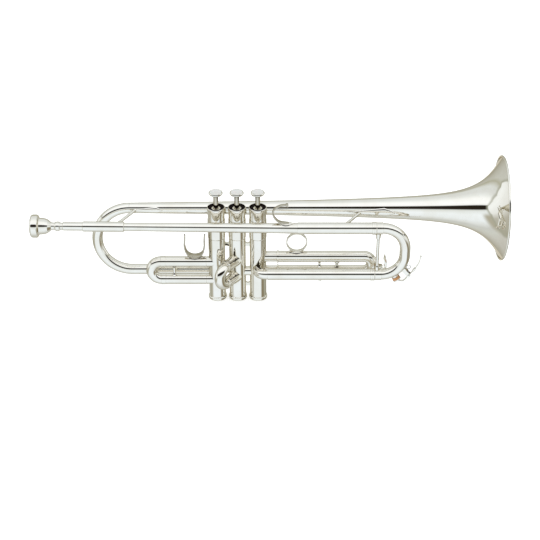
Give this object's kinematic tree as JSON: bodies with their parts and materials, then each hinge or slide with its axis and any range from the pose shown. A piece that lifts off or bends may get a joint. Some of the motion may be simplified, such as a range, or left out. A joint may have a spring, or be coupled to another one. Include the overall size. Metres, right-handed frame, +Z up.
{
  "type": "trumpet",
  "caption": "Valved brass wind instrument with a flared bell, piston valves, tuning slides, water keys, finger ring, thumb saddle, finger hook and a removable mouthpiece.",
  "frame": {"origin": "centre of the flat bottom face of the middle valve's bottom cap", "axes": "+X along the leadpipe towards the bell, +Z up along the valves, +Y from the leadpipe towards the bell tube"},
  "size_m": [0.5478, 0.1238, 0.1714],
  "materials": {
    "silver_plate": "polished silver plate",
    "monel": "lapped",
    "spring_steel": "drawn wire",
    "felt": "pressed felt",
    "cork": "cork",
    "pearl": "mother of pearl"
  },
  "bodies": {
    "horn": {"bell_bow": "silver_plate", "bell_braces": "silver_plate", "bell_flare": "silver_plate", "bell_stem": "silver_plate", "bottom_caps": "silver_plate", "cap_felts": "felt", "finger_hook": "silver_plate", "first_slide_stubs": "silver_plate", "inlet_elbow": "silver_plate", "leadpipe": "silver_plate", "lower_slide_tube": "silver_plate", "mouthpiece_receiver": "silver_plate", "second_slide_sleeves": "silver_plate", "third_slide_stubs": "silver_plate", "top_caps": "silver_plate", "upper_slide_tube": "silver_plate", "valve_braces": "silver_plate", "valve_casing_1": "silver_plate", "valve_casing_2": "silver_plate", "valve_casing_3": "silver_plate", "valve_guides": "monel", "valve_knuckles": "silver_plate", "valve_spring_1": "spring_steel", "valve_spring_2": "spring_steel", "valve_spring_3": "spring_steel"},
    "mouthpiece": {"mouthpiece": "silver_plate"},
    "first_slide": {"first_slide_tubes": "silver_plate", "first_slide_crook": "silver_plate", "first_slide_brace": "silver_plate", "thumb_saddle": "silver_plate"},
    "second_slide": {"second_slide_legs": "silver_plate", "second_slide_crook": "silver_plate"},
    "third_slide": {"third_slide_tubes": "silver_plate", "third_slide_crook": "silver_plate", "finger_ring": "silver_plate", "third_slide_brace": "silver_plate", "third_slide_stop": "silver_plate", "third_key_mount": "silver_plate"},
    "third_key": {"third_key_lever": "silver_plate", "third_key_cork": "cork"},
    "tuning_slide": {"tuning_slide_legs": "silver_plate", "tuning_slide_ferrules": "silver_plate", "tuning_slide_crook": "silver_plate", "tuning_slide_brace": "silver_plate", "water_key_mount": "silver_plate", "water_key_spring": "spring_steel"},
    "water_key": {"water_key_lever": "silver_plate", "water_key_cork": "cork"},
    "piston_1": {"piston_1": "monel", "valve_stem_1": "silver_plate", "finger_button_1": "silver_plate", "button_pearl_1": "pearl"},
    "piston_2": {"piston_2": "monel", "valve_stem_2": "silver_plate", "finger_button_2": "silver_plate", "button_pearl_2": "pearl"},
    "piston_3": {"piston_3": "monel", "valve_stem_3": "silver_plate", "finger_button_3": "silver_plate", "button_pearl_3": "pearl"}
  },
  "joints": [
    {"name": "mouthpiece_pull", "type": "slide", "parent": "horn", "child": "mouthpiece", "axis": [-1, 0, 0.0099], "range_m": [0, 0.03]},
    {"name": "valve_1", "type": "slide", "parent": "horn", "child": "piston_1", "axis": [0, 0, -1], "range_m": [0, 0.0165], "stiffness_N_per_m": 110, "springref_m": -0.02, "deforming": ["valve_spring_1"]},
    {"name": "valve_2", "type": "slide", "parent": "horn", "child": "piston_2", "axis": [0, 0, -1], "range_m": [0, 0.0165], "stiffness_N_per_m": 110, "springref_m": -0.02, "deforming": ["valve_spring_2"]},
    {"name": "valve_3", "type": "slide", "parent": "horn", "child": "piston_3", "axis": [0, 0, -1], "range_m": [0, 0.0165], "stiffness_N_per_m": 110, "springref_m": -0.02, "deforming": ["valve_spring_3"]},
    {"name": "first_slide_pull", "type": "slide", "parent": "horn", "child": "first_slide", "axis": [-1, 0, 0], "range_m": [0, 0.03]},
    {"name": "second_slide_pull", "type": "slide", "parent": "horn", "child": "second_slide", "axis": [-0.5519, -0.8339, 0], "range_m": [0, 0.008]},
    {"name": "third_slide_pull", "type": "slide", "parent": "horn", "child": "third_slide", "axis": [1, 0, 0], "range_m": [0, 0.03]},
    {"name": "tuning_slide_pull", "type": "slide", "parent": "horn", "child": "tuning_slide", "axis": [1, 0, 0], "range_m": [0, 0.05]},
    {"name": "third_key_hinge", "type": "hinge", "parent": "third_slide", "child": "third_key", "pos_m": [0.1702, 0, 0.041], "axis": [0, -1, 0], "range_deg": [0, 15], "stiffness_Nm_per_rad": 0.02, "springref_deg": -28.65},
    {"name": "water_key_hinge", "type": "hinge", "parent": "tuning_slide", "child": "water_key", "pos_m": [0.2008, -0.021, 0.0436], "axis": [0, -1, 0], "range_deg": [0, 15], "stiffness_Nm_per_rad": 0.03, "springref_deg": -28.65}
  ]
}
